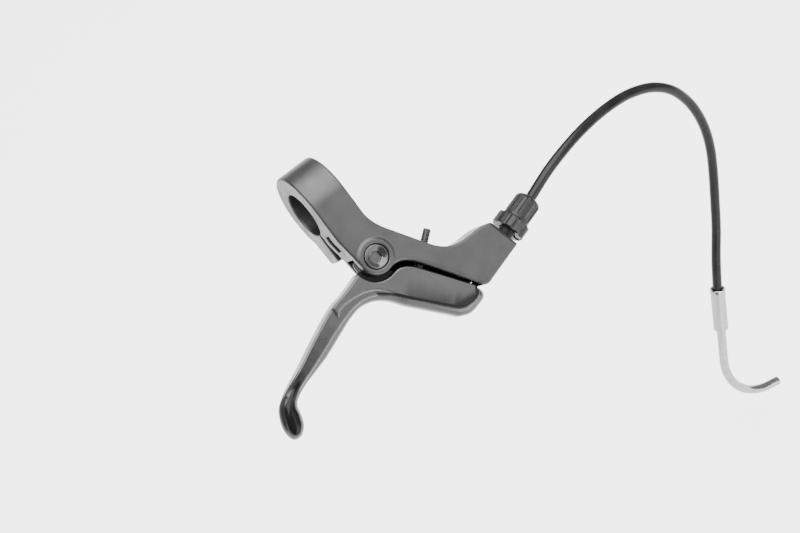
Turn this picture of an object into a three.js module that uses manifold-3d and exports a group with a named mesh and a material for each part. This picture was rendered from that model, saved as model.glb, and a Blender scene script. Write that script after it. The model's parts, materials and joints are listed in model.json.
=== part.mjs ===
// Hand brake lever for a linear-pull brake, with its barrel adjuster, cable housing and noodle.
// Millimetres, +Z up. The origin is the centre of the handlebar bore in the clamp.
// +X points inboard along the handlebar, -Y forward. The lever plane leans forward and down by LEAN.
// Inside the lever group, X runs inboard, -Y points forward in the lever plane and Z is its normal.
import * as THREE from 'three';
import { mergeVertices } from 'three/addons/utils/BufferGeometryUtils.js';
import Module from 'manifold-3d';

const wasm = await Module();
wasm.setup();

const { degToRad, radToDeg } = THREE.MathUtils;

// ---- driving dimensions ----
const GAP = 0.3; // between pieces that touch
const PAST = 2; // how far a cut runs past the face that it opens
const FAR = 40; // longer than any cut that goes right through
const LEAN = degToRad(42); // lever plane below the horizontal

// Clamp band and the lug under its slit, drawn in the plane across the handlebar
const BAR_R = 11.1; // 22.2 mm handlebar
const BAND_R = 20;
const BAND_HALF = 8.7; // half the band's width along the bar
const EDGE = 0.7; // bevel of the moulded edges
const SLIT_LOW = 0.8;
const SLIT_REAR = -9;
const LUG_FRONT = -26;
const LUG_BOTTOM = -12.5;
const LUG_CORNER = 2.5;
const LUG_FROM = degToRad(-135); // where the band's round runs into the lug

// Arm: two plates with the blade's hub between them, and the head that holds the cable
const ARM_BOTTOM = 3;
const ARM_TOP = BAND_R; // the arm's top is tangent to the band
const ARM_ROOT = -14;
const CAVITY_LOW = 6.2;
const CAVITY_HIGH = 16;
const SWING_R = 26; // room for the blade's root through its whole swing
const SWING_FROM = -48; // degrees
const SWING_TO = -209;
const BOSS_R = 8.3;
const BOSS_HEIGHT = 0.6;
const BOSS_CHAMFER = 0.9;

// Clamp bolt, crosswise to the lever plane, with a square nut in the arm
const PINCH_Y = -17.6;
const PINCH_R = 2.5; // M5
const PINCH_RECESS_R = 4.95;
const PINCH_RECESS_TOP = -8;
const PINCH_HEAD_R = 4.25;
const PINCH_HEAD_HEIGHT = 4.6;
const PINCH_HEX = 2; // 4 mm key
const PINCH_HEX_DEPTH = 2.6;
const WASHER_R = 4.6;
const WASHER_THICK = 1;
const NUT_HALF = 4; // 8 mm square nut
const NUT_LOW = 7.9;
const NUT_HIGH = 11.9;

// Lever pivot
const PIVOT = new THREE.Vector2(1.5, -32.5);
const SHANK_R = 3;
const THREAD_R = 2.5; // M5
const BOLT_END = -2.2;
const BOLT_HEAD_R = 5.45;
const BOLT_HEAD_LOW = 18.2;
const BOLT_TOP = 20.3;
const BOLT_RIM = 4.5; // flat rim of the head, around its dish
const BOLT_DISH_R = 3.4;
const BOLT_DISH = 0.7;
const BOLT_HEX = 2.5; // 5 mm key
const BOLT_HEX_DEPTH = 4;
const COUNTERBORE_R = 5.8;
const COUNTERBORE_LOW = 17.9;
const PIVOT_NUT_FLAT = 4; // 8 mm across flats
const PIVOT_NUT_HEIGHT = 4;
const BUSH_R = 4;
const BUSH_MIDDLE = 11.1; // where the two bushes meet
const PIVOT_WASHER_R = 7;

// Blade
const HUB_R = 8.2;
const HUB_LOW = 7.4;
const HUB_HIGH = 14.8;
const WEB_R = 14; // thin root between the hub and the blade's full height
const BLADE_LOW = 5.2;
const BLADE_HIGH = 17.8;
const BLADE_INNER_R = 10.8; // the blade's full height starts this far from the pivot
const BLADE_REAR = degToRad(-78);
const BLADE_OUTBOARD = degToRad(-172.6);

// Cable line. Places along it are measured from the head's end face, outward.
const HEAD_END = new THREE.Vector2(56.77, -61.35);
const CABLE_Z = 11.5;
const CABLE_ANGLE = degToRad(15.5); // against the handlebar
const ANCHOR = -35.2; // cable head
const HEAD_R = 3.5;
const HEAD_HEIGHT = 5.6;
const ANCHOR_FAN_R = 18; // room for the wire as the blade swings
const WIRE_R = 0.75;
const WIRE_END = 10;
const CHANNEL_HALF = 3;
const CHANNEL_HEIGHT = 3.5;
const CABLE_SLOT = 2.2; // slot that lets the cable out sideways

// Barrel adjuster, lock ring and ferrule on the cable line
const STEM_R = 4; // M8
const STEM_START = -16;
const SCREW_IN = 2; // how far the barrel can still be screwed in
const RING_START = 3.6;
const RING_R = 8.15;
const RING_LOBES = 10;
const KNOB_START = 9.9;
const KNOB_END = 22.2;
const KNOB_R = 6.35;
const KNOB_FLUTES = 12;
const BARREL_BORE = 2.8;
const POCKET_START = 13.2;
const POCKET_R = 3.6;
const FERRULE_END = 21.4;
const FERRULE_HOLE = 1.2;

// Reach screw
const SCREW_R = 2; // M4
const SCREW_ANGLE = degToRad(39);
const SCREW_CONTACT = new THREE.Vector2(15.68, -49.3); // on the blade's rear face
const SCREW_LENGTH = 18.9;
const SCREW_HEX = 1; // 2 mm key
const SCREW_HEX_DEPTH = 2.2;

// Cable housing, in the part's own frame, from the knob to the noodle's socket
const HOUSING_R = 2.5;
const HOUSING_START = 15; // on the cable line
const HOUSING_STEPS = 24;
const HOUSING_SIDES = 10;
const HOUSING_IN_SOCKET = 8.5;
const ROUTE = [
  [93, -45, -25.5], [108, -41.5, -24.5], [123, -38.5, -25], [139, -36.3, -27],
  [153.5, -35.3, -30.8], [166.5, -36, -37], [176, -37.7, -45.5], [182.3, -40, -55.8],
  [186.2, -42.5, -67], [188.2, -45, -79.5], [188.2, -47.3, -92.5], [186.2, -49.8, -106.5],
  [182.5, -53.2, -121.5], [177.8, -57.3, -137.5], [171.7, -61.8, -153.5], [166.4, -66.5, -169],
];

// Noodle: a steel tube with a socket for the housing, bent a quarter turn
const NOODLE_LEAN = degToRad(16); // the socket's lean inboard
const FORK_ANGLE = degToRad(18); // its lean forward, as the fork's
const SOCKET_R = 3.9;
const SOCKET_LENGTH = 25;
const SOCKET_POCKET = 9;
const NOODLE_R = 2.35;
const NOODLE_BORE = 1.75;
const NOODLE_BEND = 29;
const NOODLE_STRAIGHT = 18;
const NOODLE_TIP = 6;
const NOODLE_SIDES = 10;
const NOODLE_STEPS = 16;
const LINER_R = 1.45;
const LINER_BORE = 0.9;
const LINER_STICKOUT = 1.5;
const LINER_SIDES = 6;

// ---- materials ----
const bodyResin = new THREE.MeshStandardMaterial({ color: 0x3a3a3c, roughness: 0.5, metalness: 0.1 });
const bladePaint = new THREE.MeshStandardMaterial({ color: 0x222224, roughness: 0.25, metalness: 0.4 });
const blackSteel = new THREE.MeshStandardMaterial({ color: 0x1c1c1e, roughness: 0.35, metalness: 0.8 });
const barrelNylon = new THREE.MeshStandardMaterial({ color: 0x2c2c2d, roughness: 0.4, metalness: 0.1 });
const bushNylon = new THREE.MeshStandardMaterial({ color: 0xd8d4c6, roughness: 0.5, metalness: 0 });
const zincSteel = new THREE.MeshStandardMaterial({ color: 0xb9bbbd, roughness: 0.35, metalness: 0.9 });
const housingJacket = new THREE.MeshStandardMaterial({ color: 0x141415, roughness: 0.35, metalness: 0 });
const noodleSteel = new THREE.MeshStandardMaterial({ color: 0xd6d6d4, roughness: 0.2, metalness: 1 });

// ---- solids ----
function toSolid(geometry) {
  const weld = 1e-5;
  const bare = geometry.clone();
  bare.deleteAttribute('normal');
  bare.deleteAttribute('uv');
  const merged = mergeVertices(bare, weld);
  const vertProperties = new Float32Array(merged.attributes.position.array);
  const triVerts = new Uint32Array(merged.index.array);
  return new wasm.Manifold(new wasm.Mesh({ numProp: 3, vertProperties, triVerts }));
}

function toMesh(name, solid, material) {
  const { vertProperties, triVerts } = solid.getMesh();
  const geometry = new THREE.BufferGeometry();
  geometry.setAttribute('position', new THREE.BufferAttribute(new Float32Array(vertProperties), 3));
  geometry.setIndex(new THREE.BufferAttribute(new Uint32Array(triVerts), 1));
  geometry.computeVertexNormals();
  const mesh = new THREE.Mesh(geometry, material);
  mesh.name = name;
  return mesh;
}

// The outline's points without those that fall on their neighbour where two curves meet.
function cleanOutline(shape, curveSegments) {
  const apart = 1e-3;
  const points = shape.getPoints(curveSegments);
  const kept = points.filter((point, i) => point.distanceTo(points[(i + 1) % points.length]) > apart);
  return new THREE.Shape(kept);
}

// An outline in the XY plane, raised from low to high, with bevelled rims.
function prism(shape, low, high, { bevel = 0, curveSegments = 12 } = {}) {
  const geometry = new THREE.ExtrudeGeometry(cleanOutline(shape, curveSegments), {
    depth: high - low - 2 * bevel,
    bevelEnabled: bevel > 0,
    bevelThickness: bevel,
    bevelSize: bevel,
    bevelOffset: -bevel,
    bevelSegments: 2,
  });
  geometry.translate(0, 0, low + bevel);
  return toSolid(geometry);
}

function box(x0, x1, y0, y1, z0, z1) {
  const geometry = new THREE.BoxGeometry(x1 - x0, y1 - y0, z1 - z0);
  geometry.translate((x0 + x1) / 2, (y0 + y1) / 2, (z0 + z1) / 2);
  return toSolid(geometry);
}

// A round bar upright on Z between two heights.
function post(radius, low, high, centre = new THREE.Vector2(), segments = 20) {
  const geometry = new THREE.CylinderGeometry(radius, radius, high - low, segments);
  geometry.rotateX(Math.PI / 2);
  geometry.translate(centre.x, centre.y, (low + high) / 2);
  return toSolid(geometry);
}

// A round bar along X between two stations.
function bar(radius, start, end, segments = 20) {
  const geometry = new THREE.CylinderGeometry(radius, radius, end - start, segments);
  geometry.rotateZ(Math.PI / 2);
  geometry.translate((start + end) / 2, 0, 0);
  return toSolid(geometry);
}

// A closed profile of [station, radius] pairs turned about the X axis.
function turned(profile, segments) {
  const points = profile.map(([station, radius]) => new THREE.Vector2(radius, station));
  const geometry = new THREE.LatheGeometry([...points, points[0]], segments);
  geometry.rotateZ(-Math.PI / 2);
  return toSolid(geometry);
}

// A closed profile of [height, radius] pairs turned about an upright axis.
function spun(profile, centre = new THREE.Vector2(), segments = 20) {
  const points = profile.map(([height, radius]) => new THREE.Vector2(radius, height));
  const geometry = new THREE.LatheGeometry([...points, points[0]], segments);
  geometry.rotateX(Math.PI / 2);
  geometry.translate(centre.x, centre.y, 0);
  return toSolid(geometry);
}

// An upright tube between two heights.
function ring(inner, outer, low, high, centre) {
  return spun([[low, inner], [low, outer], [high, outer], [high, inner]], centre);
}

function polygon(points) {
  return new THREE.Shape(points.map(([x, y]) => new THREE.Vector2(x, y)));
}

// Points on an arc, both ends included. Angles are in degrees.
function arc(centre, radius, from, to, steps) {
  return Array.from({ length: steps + 1 }, (_, i) => {
    const angle = degToRad(from + ((to - from) * i) / steps);
    return [centre.x + radius * Math.cos(angle), centre.y + radius * Math.sin(angle)];
  });
}

// A regular outline given by the radius of the circle inside it.
function regular(sides, inscribed) {
  const step = 360 / sides;
  return polygon(arc(new THREE.Vector2(), inscribed / Math.cos(Math.PI / sides), 0, 360 - step, sides - 1));
}

// A wedge of the lever plane with its point at the pivot.
function sector(radius, from, to) {
  return polygon([[PIVOT.x, PIVOT.y], ...arc(PIVOT, radius, from, to, 8)]);
}

// A point of the lever plane, given along (s) and across (t) the cable line.
function cablePoint(s, t) {
  const along = new THREE.Vector2(Math.cos(CABLE_ANGLE), Math.sin(CABLE_ANGLE));
  return [HEAD_END.x + s * along.x - t * along.y, HEAD_END.y + s * along.y + t * along.x];
}

// Moves a solid made along X onto a line of the lever plane.
function ontoLine(solid, start, angle) {
  return solid.rotate([0, 0, radToDeg(angle)]).translate([start.x, start.y, CABLE_Z]);
}

// ---- lever body ----
function armOutline() {
  const shape = new THREE.Shape();
  const bossFrom = degToRad(-75);
  const bossStart = [PIVOT.x + BOSS_R * Math.cos(bossFrom), PIVOT.y + BOSS_R * Math.sin(bossFrom)];
  shape.moveTo(BAND_HALF, 0);
  shape.lineTo(BAND_HALF, ARM_ROOT);
  shape.quadraticCurveTo(9.2, -19.6, 13.2, -25.4);
  shape.lineTo(24, -41.2);
  shape.bezierCurveTo(28.6, -48.2, 32.6, -50.1, 40, -50.4);
  shape.lineTo(47.3, -50.5);
  shape.quadraticCurveTo(51.4, -50.7, ...cablePoint(0, 9.6));
  shape.lineTo(...cablePoint(0, -5.8));
  shape.lineTo(37.2, -72.7);
  shape.quadraticCurveTo(35, -73.3, 33.6, -71.5);
  shape.lineTo(17.5, -48.3);
  shape.bezierCurveTo(12.9, -41.6, 8.4, -39.3, ...bossStart);
  shape.absarc(PIVOT.x, PIVOT.y, BOSS_R, bossFrom, -Math.PI, true);
  shape.lineTo(-7.3, -27);
  shape.lineTo(-BAND_HALF, -17);
  shape.lineTo(-BAND_HALF, 0);
  return shape;
}

// Side view of the band and its lug: first axis rearward (Y), second axis up (Z).
function bandOutline() {
  const shape = new THREE.Shape();
  shape.moveTo(ARM_ROOT, BAND_R);
  shape.lineTo(0, BAND_R);
  shape.absarc(0, 0, BAND_R, Math.PI / 2, LUG_FROM, true);
  shape.lineTo(LUG_FRONT + LUG_CORNER, LUG_BOTTOM);
  shape.quadraticCurveTo(LUG_FRONT, LUG_BOTTOM, LUG_FRONT, LUG_BOTTOM + LUG_CORNER);
  shape.lineTo(LUG_FRONT, SLIT_LOW - LUG_CORNER);
  shape.quadraticCurveTo(LUG_FRONT, SLIT_LOW, LUG_FRONT + LUG_CORNER, SLIT_LOW);
  shape.lineTo(ARM_ROOT, SLIT_LOW);
  return shape;
}

// The side view's first axis becomes Y, its second Z, and its depth runs along X.
function clampBand() {
  const solid = prism(bandOutline(), -BAND_HALF, BAND_HALF, { bevel: EDGE, curveSegments: 18 });
  const axes = [new THREE.Vector3(0, 1, 0), new THREE.Vector3(0, 0, 1), new THREE.Vector3(1, 0, 0)];
  return solid.transform(new THREE.Matrix4().makeBasis(...axes).elements);
}

function boss() {
  const top = ARM_TOP + BOSS_HEIGHT;
  const profile = [
    [ARM_TOP - PAST, 0],
    [ARM_TOP - PAST, BOSS_R],
    [ARM_TOP, BOSS_R],
    [top, BOSS_R - BOSS_CHAMFER],
    [top, 0],
  ];
  return spun(profile, PIVOT, 32);
}

const pinchCentre = new THREE.Vector2(0, PINCH_Y);

function pinchCuts() {
  const half = NUT_HALF + GAP;
  const outside = -BAND_HALF - PAST;
  const pocket = box(outside, half, PINCH_Y - half, PINCH_Y + half, NUT_LOW - GAP, NUT_HIGH + GAP);
  return post(PINCH_R + GAP, -FAR, NUT_HIGH + PAST, pinchCentre)
    .add(post(PINCH_RECESS_R, -FAR, PINCH_RECESS_TOP, pinchCentre))
    .add(pocket);
}

function pivotCuts() {
  return post(HUB_R + 2 * GAP, CAVITY_LOW, CAVITY_HIGH, PIVOT, 28)
    .add(prism(sector(SWING_R, SWING_FROM, SWING_TO), CAVITY_LOW, CAVITY_HIGH))
    .add(post(SHANK_R + GAP, CAVITY_HIGH - 1, FAR, PIVOT))
    .add(post(THREAD_R + GAP, -FAR, CAVITY_LOW + 1, PIVOT))
    .add(post(COUNTERBORE_R, COUNTERBORE_LOW, FAR, PIVOT, 28));
}

function cableCuts() {
  const start = ANCHOR - 1;
  const cuts = bar(STEM_R + GAP, STEM_START - SCREW_IN - 1, PAST)
    .add(box(start, STEM_START, -CHANNEL_HALF, CHANNEL_HALF, -CHANNEL_HEIGHT, CHANNEL_HEIGHT))
    .add(box(start, PAST, -FAR / 2, 0, -CABLE_SLOT / 2, CABLE_SLOT / 2));
  return ontoLine(cuts, HEAD_END, CABLE_ANGLE);
}

function leverBody() {
  const screwHole = ontoLine(bar(SCREW_R + GAP, -FAR / 4, FAR), SCREW_CONTACT, SCREW_ANGLE);
  return clampBand()
    .add(prism(armOutline(), ARM_BOTTOM, ARM_TOP, { bevel: EDGE, curveSegments: 6 }))
    .add(boss())
    .subtract(bar(BAR_R, -FAR, FAR, 48))
    .subtract(box(-FAR, FAR, -FAR, SLIT_REAR, SLIT_LOW, ARM_BOTTOM))
    .subtract(pinchCuts())
    .subtract(pivotCuts())
    .subtract(cableCuts())
    .subtract(screwHole);
}

// ---- clamp fasteners ----
function clampBolt() {
  const chamfer = 0.45;
  const top = PINCH_RECESS_TOP - WASHER_THICK - 2 * GAP;
  const bottom = top - PINCH_HEAD_HEIGHT;
  const profile = [
    [bottom, 0],
    [bottom, PINCH_HEAD_R - chamfer],
    [bottom + chamfer, PINCH_HEAD_R],
    [top, PINCH_HEAD_R],
    [top, 0],
  ];
  const socket = prism(regular(6, PINCH_HEX), bottom - PAST, bottom + PINCH_HEX_DEPTH);
  return spun(profile, pinchCentre)
    .add(post(PINCH_R, top - 1, NUT_HIGH + 1, pinchCentre))
    .subtract(socket.translate([pinchCentre.x, pinchCentre.y, 0]));
}

function clampWasher() {
  const top = PINCH_RECESS_TOP - GAP;
  return ring(PINCH_R + GAP, WASHER_R, top - WASHER_THICK, top, pinchCentre);
}

function clampNut() {
  return box(-NUT_HALF, NUT_HALF, PINCH_Y - NUT_HALF, PINCH_Y + NUT_HALF, NUT_LOW, NUT_HIGH)
    .subtract(post(PINCH_R + GAP, NUT_LOW - PAST, NUT_HIGH + PAST, pinchCentre));
}

// ---- blade ----
function bladeOutline() {
  const shape = new THREE.Shape();
  const through = (...points) => shape.splineThru(points.map(([x, y]) => new THREE.Vector2(x, y)));
  const [rear, outboard] = [BLADE_REAR, BLADE_OUTBOARD].map((angle) => (
    [PIVOT.x + BLADE_INNER_R * Math.cos(angle), PIVOT.y + BLADE_INNER_R * Math.sin(angle)]
  ));
  shape.moveTo(...rear);
  shape.quadraticCurveTo(10, -41.7, 15, -48.4);
  shape.lineTo(30.9, -69.4);
  through([33.4, -73.6], [32.7, -76.8], [28.5, -78.5], [22.5, -79.1], [17.6, -77.1]);
  shape.lineTo(0.6, -58.3);
  through([-4.5, -51.9], [-10, -48.1], [-16.8, -46.7], [-23.6, -48]);
  through([-42, -54.9], [-59.5, -60], [-64.3, -63.4], [-65.6, -68], [-67.6, -72.6], [-71.5, -75.4],
    [-75, -74.6], [-76.3, -70.5], [-75.2, -65], [-71.8, -59.3], [-65.5, -55.5], [-53.3, -50.1]);
  through([-40, -43.8], [-27, -38.5], [-19, -36.8], [-13, -35.2], outboard);
  shape.absarc(PIVOT.x, PIVOT.y, BLADE_INNER_R, BLADE_OUTBOARD, BLADE_REAR, false);
  return shape;
}

// Socket for the cable head, open below, and the fan-shaped slot that its wire swings in.
function anchorCuts() {
  const [x, y] = cablePoint(ANCHOR, 0);
  const centre = new THREE.Vector2(x, y);
  const mouth = 1.2;
  const floor = BLADE_LOW - 1;
  const fan = polygon([[x, y - mouth], ...arc(centre, ANCHOR_FAN_R, 10, 51, 4), [x - mouth, y + 1]]);
  return post(HEAD_R + GAP, floor, CABLE_Z + HEAD_HEIGHT / 2 + GAP, centre)
    .add(prism(fan, floor, CABLE_Z + 1.4));
}

function leverBlade() {
  return prism(bladeOutline(), BLADE_LOW, BLADE_HIGH, { curveSegments: 5 })
    .add(prism(sector(WEB_R, -70, -169), HUB_LOW, HUB_HIGH))
    .add(post(HUB_R, HUB_LOW, HUB_HIGH, PIVOT, 28))
    .subtract(post(BUSH_R + GAP, -FAR, FAR, PIVOT))
    .subtract(anchorCuts());
}

// ---- pivot ----
function pivotBolt() {
  const chamfer = 0.4;
  const profile = [
    [BOLT_END, 0],
    [BOLT_END, THREAD_R],
    [CAVITY_LOW, THREAD_R],
    [CAVITY_LOW, SHANK_R],
    [BOLT_HEAD_LOW, SHANK_R],
    [BOLT_HEAD_LOW, BOLT_HEAD_R],
    [BOLT_TOP - chamfer, BOLT_HEAD_R],
    [BOLT_TOP, BOLT_HEAD_R - chamfer],
    [BOLT_TOP, BOLT_RIM],
    [BOLT_TOP - BOLT_DISH, BOLT_DISH_R],
    [BOLT_TOP - BOLT_DISH, 0],
  ];
  const socket = prism(regular(6, BOLT_HEX), BOLT_TOP - BOLT_HEX_DEPTH, BOLT_TOP + PAST);
  return spun(profile, PIVOT, 28).subtract(socket.translate([PIVOT.x, PIVOT.y, 0]));
}

function pivotNut() {
  const top = ARM_BOTTOM - GAP;
  return prism(regular(6, PIVOT_NUT_FLAT), top - PIVOT_NUT_HEIGHT, top)
    .translate([PIVOT.x, PIVOT.y, 0])
    .subtract(post(THREAD_R + GAP, -FAR, FAR, PIVOT));
}

function pivotRing(outer, low, high) {
  return ring(SHANK_R + GAP, outer, low, high, PIVOT);
}

// ---- barrel adjuster and lock ring, made along X ----
function cableSlotCut(start, end) {
  return box(start - PAST, end + PAST, -FAR, 0, -CABLE_SLOT / 2, CABLE_SLOT / 2);
}

// Takes equally spaced grooves out of a turned piece.
function grooved(solid, count, groove) {
  const turns = Array.from({ length: count }, (_, i) => (360 * (i + 0.5)) / count);
  return turns.reduce((left, degrees) => left.subtract(groove.rotate([degrees, 0, 0])), solid);
}

function barrelAdjuster() {
  const chamfer = 0.5;
  const round = 2.4; // the knob's rounded end
  const profile = [
    [STEM_START, BARREL_BORE],
    [STEM_START, STEM_R - chamfer],
    [STEM_START + chamfer, STEM_R],
    [KNOB_START, STEM_R],
    [KNOB_START, KNOB_R - chamfer],
    [KNOB_START + chamfer, KNOB_R],
    [KNOB_END - round, KNOB_R],
    [KNOB_END - round / 3, KNOB_R - round / 3],
    [KNOB_END, KNOB_R - round],
    [KNOB_END, POCKET_R],
    [POCKET_START, POCKET_R],
    [POCKET_START, BARREL_BORE],
  ];
  const groove = bar(0.75, KNOB_START + 3 * chamfer, KNOB_END + 1, 6).translate([0, 0, KNOB_R + 0.25]);
  return grooved(turned(profile, 24), KNOB_FLUTES, groove).subtract(cableSlotCut(STEM_START, KNOB_END));
}

function lockRing() {
  const chamfer = 0.5;
  const end = KNOB_START - GAP;
  const inner = STEM_R + GAP;
  const profile = [
    [RING_START, inner],
    [RING_START, RING_R - chamfer],
    [RING_START + chamfer, RING_R],
    [end - chamfer, RING_R],
    [end, RING_R - chamfer],
    [end, inner],
  ];
  const notch = bar(1.3, RING_START - 1, end + 1, 8).translate([0, 0, RING_R + 0.55]);
  return grooved(turned(profile, 30), RING_LOBES, notch).subtract(cableSlotCut(RING_START, end));
}

// A cup over the housing's end, with a hole for the wire.
function housingFerrule() {
  const start = POCKET_START + GAP;
  const floor = HOUSING_START - GAP;
  const outer = POCKET_R - GAP;
  const inner = HOUSING_R + GAP;
  const profile = [
    [start, FERRULE_HOLE],
    [start, outer],
    [FERRULE_END, outer],
    [FERRULE_END, inner],
    [floor, inner],
    [floor, FERRULE_HOLE],
  ];
  return turned(profile, 20);
}

// ---- cable ----
function cableHead() {
  return post(HEAD_R, -HEAD_HEIGHT / 2, HEAD_HEIGHT / 2).translate([ANCHOR, 0, 0]);
}

function innerCable() {
  return bar(WIRE_R, ANCHOR + HEAD_R + GAP, WIRE_END, 12);
}

// A round section for a tube swept along a path.
function roundSection(radius, sides, bore = 0) {
  const outline = (r) => regular(sides, r * Math.cos(Math.PI / sides));
  const section = outline(radius);
  if (bore > 0) section.holes.push(new THREE.Path(outline(bore).getPoints()));
  return section;
}

function swept(path, section, steps) {
  return toSolid(new THREE.ExtrudeGeometry(section, { steps, extrudePath: path }));
}

// A point of the cable line in the part's own frame.
function cablePointInPart(s) {
  const [x, y] = cablePoint(s, 0);
  return new THREE.Vector3(x, y, CABLE_Z).applyAxisAngle(new THREE.Vector3(1, 0, 0), LEAN);
}

const inboard = new THREE.Vector3(1, 0, 0);
const alongFork = new THREE.Vector3(0, -Math.sin(FORK_ANGLE), -Math.cos(FORK_ANGLE));
const noodleTop = new THREE.Vector3(...ROUTE[ROUTE.length - 1]);
const noodleDown = alongFork.clone()
  .multiplyScalar(Math.cos(NOODLE_LEAN))
  .addScaledVector(inboard, -Math.sin(NOODLE_LEAN));
const noodleAcross = inboard.clone()
  .multiplyScalar(Math.cos(NOODLE_LEAN))
  .addScaledVector(alongFork, Math.sin(NOODLE_LEAN));

function belowNoodleTop(depth) {
  return noodleTop.clone().addScaledVector(noodleDown, depth);
}

function cableHousing() {
  const path = new THREE.CatmullRomCurve3([
    cablePointInPart(HOUSING_START),
    cablePointInPart(KNOB_END),
    ...ROUTE.map((point) => new THREE.Vector3(...point)),
    belowNoodleTop(HOUSING_IN_SOCKET),
  ]);
  return swept(path, roundSection(HOUSING_R, HOUSING_SIDES), HOUSING_STEPS);
}

// ---- noodle ----
// The quarter bend between the noodle's two straight stretches.
class QuarterBend extends THREE.Curve {
  constructor(centre) {
    super();
    this.centre = centre;
  }

  getPoint(t, target = new THREE.Vector3()) {
    const angle = (t * Math.PI) / 2;
    return target.copy(this.centre)
      .addScaledVector(noodleAcross, -NOODLE_BEND * Math.cos(angle))
      .addScaledVector(noodleDown, NOODLE_BEND * Math.sin(angle));
  }
}

function noodlePath(startDepth, tip) {
  const bendStart = belowNoodleTop(SOCKET_LENGTH + NOODLE_STRAIGHT);
  const centre = bendStart.clone().addScaledVector(noodleAcross, NOODLE_BEND);
  const bendEnd = centre.clone().addScaledVector(noodleDown, NOODLE_BEND);
  const path = new THREE.CurvePath();
  path.add(new THREE.LineCurve3(belowNoodleTop(startDepth), bendStart));
  path.add(new QuarterBend(centre));
  path.add(new THREE.LineCurve3(bendEnd, bendEnd.clone().addScaledVector(noodleAcross, tip)));
  return path;
}

// The socket's profile gives depth below the noodle's top and radius.
function noodleSocket() {
  const mouth = HOUSING_R + GAP;
  const bore = NOODLE_BORE * Math.cos(Math.PI / NOODLE_SIDES);
  const profile = [
    [0, mouth],
    [0, SOCKET_R - 0.4],
    [0.4, SOCKET_R],
    [SOCKET_LENGTH - 1, SOCKET_R],
    [SOCKET_LENGTH, SOCKET_R - 1],
    [SOCKET_LENGTH, bore],
    [SOCKET_POCKET, bore],
    [SOCKET_POCKET, mouth],
  ];
  const turn = new THREE.Quaternion().setFromUnitVectors(new THREE.Vector3(0, 0, 1), noodleDown);
  const place = new THREE.Matrix4().compose(noodleTop, turn, new THREE.Vector3(1, 1, 1));
  return spun(profile).transform(place.elements);
}

function noodle() {
  const path = noodlePath(SOCKET_LENGTH - 1, NOODLE_TIP);
  const tube = swept(path, roundSection(NOODLE_R, NOODLE_SIDES, NOODLE_BORE), NOODLE_STEPS);
  return tube.add(noodleSocket());
}

function noodleLiner() {
  const path = noodlePath(SOCKET_POCKET + GAP, NOODLE_TIP + LINER_STICKOUT);
  return swept(path, roundSection(LINER_R, LINER_SIDES, LINER_BORE), NOODLE_STEPS);
}

// ---- reach screw ----
function reachScrew() {
  const socket = prism(regular(6, SCREW_HEX), SCREW_LENGTH - SCREW_HEX_DEPTH, SCREW_LENGTH + PAST);
  return bar(SCREW_R, GAP, SCREW_LENGTH).subtract(socket.rotate([0, 90, 0]));
}

// ---- assembly ----
const lever = new THREE.Group();
lever.rotation.x = LEAN;
lever.add(
  toMesh('lever_body', leverBody(), bodyResin),
  toMesh('clamp_bolt', clampBolt(), blackSteel),
  toMesh('clamp_washer', clampWasher(), zincSteel),
  toMesh('clamp_nut', clampNut(), zincSteel),
  toMesh('lever_blade', leverBlade(), bladePaint),
  toMesh('pivot_bolt', pivotBolt(), blackSteel),
  toMesh('pivot_nut', pivotNut(), zincSteel),
  toMesh('pivot_bush_upper', pivotRing(BUSH_R, BUSH_MIDDLE + GAP / 2, HUB_HIGH), bushNylon),
  toMesh('pivot_bush_lower', pivotRing(BUSH_R, HUB_LOW, BUSH_MIDDLE - GAP / 2), bushNylon),
  toMesh('pivot_washer_upper', pivotRing(PIVOT_WASHER_R, HUB_HIGH + GAP, CAVITY_HIGH - GAP), zincSteel),
  toMesh('pivot_washer_lower', pivotRing(PIVOT_WASHER_R, CAVITY_LOW + GAP, HUB_LOW - GAP), zincSteel),
);

const reach = new THREE.Group();
reach.position.set(SCREW_CONTACT.x, SCREW_CONTACT.y, CABLE_Z);
reach.rotation.z = SCREW_ANGLE;
reach.add(toMesh('reach_screw', reachScrew(), blackSteel));
lever.add(reach);

const cableLine = new THREE.Group();
cableLine.position.set(HEAD_END.x, HEAD_END.y, CABLE_Z);
cableLine.rotation.z = CABLE_ANGLE;
cableLine.add(
  toMesh('barrel_adjuster', barrelAdjuster(), barrelNylon),
  toMesh('lock_ring', lockRing(), barrelNylon),
  toMesh('housing_ferrule', housingFerrule(), zincSteel),
  toMesh('cable_head', cableHead(), zincSteel),
  toMesh('inner_cable', innerCable(), zincSteel),
);
lever.add(cableLine);

const part = new THREE.Group();
part.add(
  lever,
  toMesh('cable_housing', cableHousing(), housingJacket),
  toMesh('noodle', noodle(), noodleSteel),
  toMesh('noodle_liner', noodleLiner(), bushNylon),
);

export default part;
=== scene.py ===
"""Looks of a hand brake lever with its barrel adjuster, cable housing and noodle.

Shapes are worked out in millimetres. The lever frame has its origin in the handlebar bore, X inboard,
Y rearward in the lever plane and Z as that plane's normal. The cable frame has X along the cable line.
Moulded, cast and machined pieces are implicit solids on a grid of sample points, meshed at the zero level.
"""
import json
import math
from itertools import product

import bpy
import numpy as np
from mathutils import Matrix, Vector


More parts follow.
